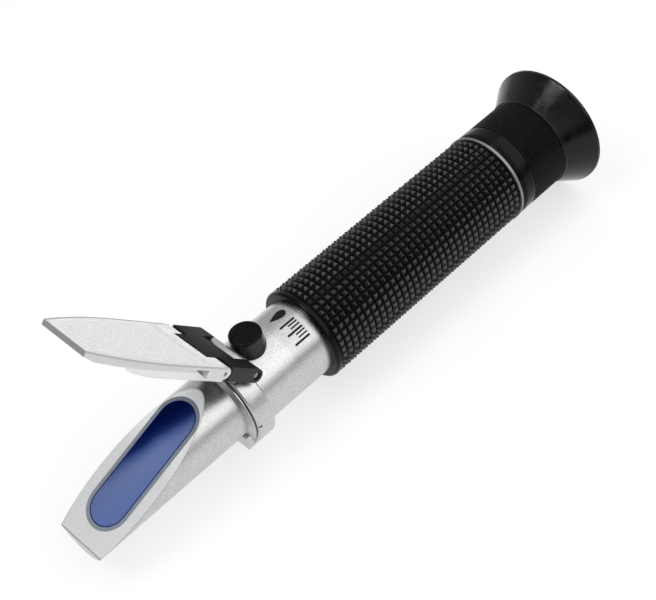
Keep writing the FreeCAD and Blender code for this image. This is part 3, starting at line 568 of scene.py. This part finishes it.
FINISH = {
    "prism_housing": HOUSING, "measuring_prism": PRISM, "prism_sealant": SEALANT,
    "housing_gasket": CAP_RUBBER, "hinge_collar": COLLAR, "barrel_tube": ALUMINIUM,
    "grip_end_band": BAND, "hinge_link": LINK_PLASTIC, "daylight_plate": ACRYLIC,
    "calibration_bush": BRASS, "bimetal_strip": BIMETAL,
}
for node in ("collar_set_screw", "hinge_pin", "plate_pins", "calibration_screw", "strip_screws",
             "carrier_spring"):
    FINISH[node] = STEEL
for node in ("objective_crown", "objective_flint", "reticle", "field_lens", "eye_lens",
             "compensator_lens"):
    FINISH[node] = OPTICAL
for node, obj in NODES.items():
    obj.data.materials.clear()
    obj.data.materials.append(FINISH.get(node, ANODISED))


def soften(node, width, segments=3):
    """Small rounded edges on a CAD piece."""
    obj = NODES[node]
    weld = obj.modifiers.new("weld", "WELD")
    weld.merge_threshold = 0.002 * MM
    flat = obj.modifiers.new("flat", "DECIMATE")
    flat.decimate_type = "DISSOLVE"
    flat.angle_limit = math.radians(0.5)
    bevel = obj.modifiers.new("bevel", "BEVEL")
    bevel.width = width * MM
    bevel.segments = segments
    bevel.limit_method = "ANGLE"
    bevel.angle_limit = math.radians(35)
    bevel.harden_normals = True
    smooth(obj, 35)


soften("hinge_link", 0.22)
soften("hinge_collar", 0.15, 2)


# ---- grip, eyepiece and cap -------------------------------------------------------------------

def second_finish(obj, material, chosen):
    """Gives the faces whose centres are chosen another material."""
    obj.data.materials.append(material)
    for face in obj.data.polygons:
        if chosen(face.center):
            face.material_index = 1


def make_grip():
    depth, inner = 0.85, 12.25
    low, lip_r = GRIP_R - depth, GRIP_R - 0.05
    verts, faces, front, rear = knurl(8.3, 84.8, 33, 40, GRIP_R, depth, 0.05, 0.06)
    lip = rounded([(GRIP_FRONT, inner), (GRIP_FRONT, lip_r, 2.0), (7.75, lip_r, 0.25),
                   (7.95, low)], 8)
    rings = [(GRIP_REAR, low), (GRIP_REAR, inner)] + lip
    verts, faces = sleeve(verts, faces, front, rear, rings)
    grip = make_piece("grip_knurled_sleeve", verts, faces, "barrel", GRIP_RUBBER,
                      ["grip_sleeve"], 28)
    second_finish(grip, LIP_RUBBER, lambda place: place.x < GRIP_LIP_END * MM)


def make_focus_ring():
    verts, faces, front, rear = knurl(92.0, 105.8, 15, 100, 14.73, 0.30, 0.09, 0.12)
    profile = rounded([(105.9, 14.82, 0.05), (106.0, 14.82), (106.0, 13.3), (109.0, 13.3, 0.3),
                       (109.0, 8.5, 0.3), (103.2, 8.5), (103.2, 12.65), (86.15, 12.65),
                       (86.15, 13.9, 0.1),
                       (87.9, 14.73, 0.3), (91.6, 14.73, 0.1), (91.85, 14.43)], 4)
    verts, faces = sleeve(verts, faces, front, rear, profile)
    ring = make_piece("focus_ring_knurled", verts, faces, "focus_ring", EYEPIECE,
                      ["focus_ring"], 28)
    second_finish(ring, SMOOTH_RING, lambda place: place.x < RING_KNURL_START * MM)


def make_eyecup():
    profile = rounded([(106.02, 13.35), (106.02, 15.02, 0.2), (106.55, 15.02, 0.2),
                       (106.75, 14.72, 0.1), (114.9, 19.75, 0.8), (115.25, 20.0, 0.25),
                       (116.3, 20.0, 0.25), (116.3, 19.2, 0.25), (109.0, 13.35)], 6)
    verts, faces = lathe(profile, 160)
    make_piece("eyecup_flared", verts, faces, "focus_ring", EYECUP, ["eyecup"], 40)


def make_cap():
    profile = rounded([(15.8, 0.01), (15.8, 3.6), (11.6, 3.6), (11.6, 5.0), (12.7, 5.0, 0.15),
                       (12.9, 4.85, 0.1), (16.85, 4.65, 0.1), (17.24, 4.25, 0.3), (17.06, 3.7, 0.4),
                       (17.02, 0.01)], 5)
    verts, faces = upright(profile, CAP_X, 96)
    saddle = []
    for x, y, z in verts:
        if z < 12.5:
            barrel_top = math.sqrt((BARREL_R + 0.12) ** 2 - y * y)
            z = barrel_top if z < 12.0 else max(z, barrel_top + 0.3)
        saddle.append((x, y, z))
    cap = make_piece("screw_cap_soft", saddle, faces, "screw_cap", CAP_RUBBER,
                     ["screw_cap"], 30)
    second_finish(cap, CAP_TOP, lambda place: place.z > CAP_TOP_Z * MM)


# ---- label ------------------------------------------------------------------------------------

def on_barrel(x, arc, radius):
    """Point at a distance round the barrel from its top, in millimetres, positive towards -Y."""
    a = arc / BARREL_R
    return x, -radius * math.sin(a), radius * math.cos(a)


def wrapped(name, outline, layer, material, step=0.35):
    """A thin layer on the barrel, between two radii, with an outline of (x, arc) corners."""
    low, high = layer
    bm = bmesh.new()
    edges = []
    points = [bm.verts.new((x, arc, 0)) for x, arc in outline]
    for i, point in enumerate(points):
        edges.append(bm.edges.new((point, points[(i + 1) % len(points)])))
    bmesh.ops.triangle_fill(bm, edges=edges, use_beauty=True)
    arcs = [arc for _, arc in outline]
    k = math.ceil(min(arcs) / step)
    while k * step < max(arcs):
        bmesh.ops.bisect_plane(bm, geom=bm.verts[:] + bm.edges[:] + bm.faces[:],
                               plane_co=(0, k * step, 0), plane_no=(0, 1, 0))
        k += 1
    bm.verts.index_update()
    flat = [tuple(v.co) for v in bm.verts]
    n = len(flat)
    verts = [on_barrel(x, arc, high) for x, arc, _ in flat]
    verts += [on_barrel(x, arc, low) for x, arc, _ in flat]
    faces = []
    for f in bm.faces:
        loop = [v.index for v in f.verts]
        faces.append(tuple(loop))
        faces.append(tuple(n + i for i in reversed(loop)))
    for e in bm.edges:
        if len(e.link_faces) == 1:
            a, b = (v.index for v in e.verts)
            faces.append((a, b, n + b, n + a))
    bm.free()
    return make_piece(name, verts, faces, "barrel", material, sharp=50)


def make_label():
    film = rounded([(-4.5, -12.0, 0.8), (5.85, -12.0, 0.8), (5.85, 13.0, 0.8),
                    (-4.5, 13.0, 0.8)], 6)
    wrapped("label_film", film, FILM_LAYER, FILM, 0.6)
    drop = []
    for i in range(48):
        t = 2 * math.pi * i / 48
        drop.append((0.75 - 2.9 * math.cos(t), -1.3 + 2.0 * math.sin(t) * math.sin(t / 2) ** 1.3))
    wrapped("label_droplet", drop, INK_LAYER, INK)
    end = 3.5
    for i in range(7):
        length, wide = (5.4, 0.62) if i % 3 == 0 else (3.2, 0.45)
        arc = 2.3 + 1.05 * i
        tick = [(end - length, arc), (end, arc), (end, arc + wide), (end - length, arc + wide)]
        wrapped(f"label_tick_{i}", tick, INK_LAYER, INK)


make_grip()
make_focus_ring()
make_eyecup()
make_cap()
make_label()


# ---- floor, light and camera ------------------------------------------------------------------

def make_floor():
    mesh = bpy.data.meshes.new("floor")
    size = 3.0
    corners = [(-size, -size), (size, -size), (size, size), (-size, size)]
    mesh.from_pydata([(x, y, FLOOR_LEVEL) for x, y in corners], [], [(0, 1, 2, 3)])
    floor = bpy.data.objects.new("floor", mesh)
    bpy.context.scene.collection.objects.link(floor)
    s = Shader("floor_white", Roughness=0.9, Specular_IOR_Level=0.1, Emission_Color=(1, 1, 1, 1))
    s.colour(s.ramp(s.noise(60.0), (0.3, 0.32), (0.7, 0.33)))
    distance = s.add("ShaderNodeVectorMath", operation="LENGTH")
    s.link(s.where, distance.inputs[0])
    glow = s.span(distance.outputs["Value"], 0.22, 0.8, 0.68, 0.14)
    s.link(glow, s.bsdf.inputs["Emission Strength"])
    mesh.materials.append(s.material)


def soft_box(name, place, width, height, power, glints_only=False):
    """A rectangular light aimed at the origin; for glints only, it shows just in reflections."""
    data = bpy.data.lights.new(name, "AREA")
    data.shape = "RECTANGLE"
    data.size, data.size_y, data.energy = width, height, power
    lamp = bpy.data.objects.new(name, data)
    bpy.context.scene.collection.objects.link(lamp)
    lamp.location = place
    lamp.rotation_mode = "QUATERNION"
    lamp.rotation_quaternion = (-Vector(place)).to_track_quat("-Z", "Y")
    lamp.visible_diffuse = not glints_only


def make_world():
    """White studio: a bright bank above the near side, dim far side and ends, dark horizon."""
    world = bpy.data.worlds.new("studio")
    bpy.context.scene.world = world
    world.use_nodes = True
    s = Nodes(world.node_tree, "Generated")
    height, far = s.axis("Z"), s.axis("Y")
    near_bank = s.ramp(height, (0.04, 0.22), (0.20, 0.28), (0.38, 1.85), (0.7, 1.85),
                       (0.92, 1.45))
    far_side = s.ramp(height, (0.0, 0.60), (0.5, 0.66), (1.0, 0.75))
    light = s.mix(s.span(far, 0.20, 0.34), near_bank, far_side)
    along = s.axis("X")
    dim_end = s.math("MULTIPLY", s.span(along, -0.45, -0.05, 0.20, 1.0),
                     s.span(along, 0.60, 0.80, 1.0, 0.65))
    back = world.node_tree.nodes["Background"]
    s.link(s.mix(dim_end, BLACK, light), back.inputs["Color"])
    back.inputs["Strength"].default_value = 1.0


def make_camera():
    """The photograph's viewing place, angle and focal length."""
    data = bpy.data.cameras.new("camera")
    data.sensor_width = 36.0
    data.lens = 75.617
    data.clip_start, data.clip_end = 0.01, 20.0
    camera = bpy.data.objects.new("camera", data)
    bpy.context.scene.collection.objects.link(camera)
    forward = Vector((0.4062, 0.5560, -0.7252)).normalized()
    up = Vector((0.5893, 0.4471, 0.6729))
    up = (up - forward * up.dot(forward)).normalized()
    right = forward.cross(up)
    turn = Matrix((right, up, -forward)).transposed().to_4x4()
    camera.matrix_world = Matrix.Translation(Vector((-140.34, -216.61, 287.18)) * MM) @ turn
    bpy.context.scene.camera = camera


make_floor()
make_world()
soft_box("overhead", (-0.44, 0.13, 0.84), 0.40, 0.40, 2.2)
soft_box("streak", (-0.46, 0.12, 0.88), 0.46, 0.40, 1.9, glints_only=True)
make_camera()
bpy.context.scene.view_settings.view_transform = "Standard"
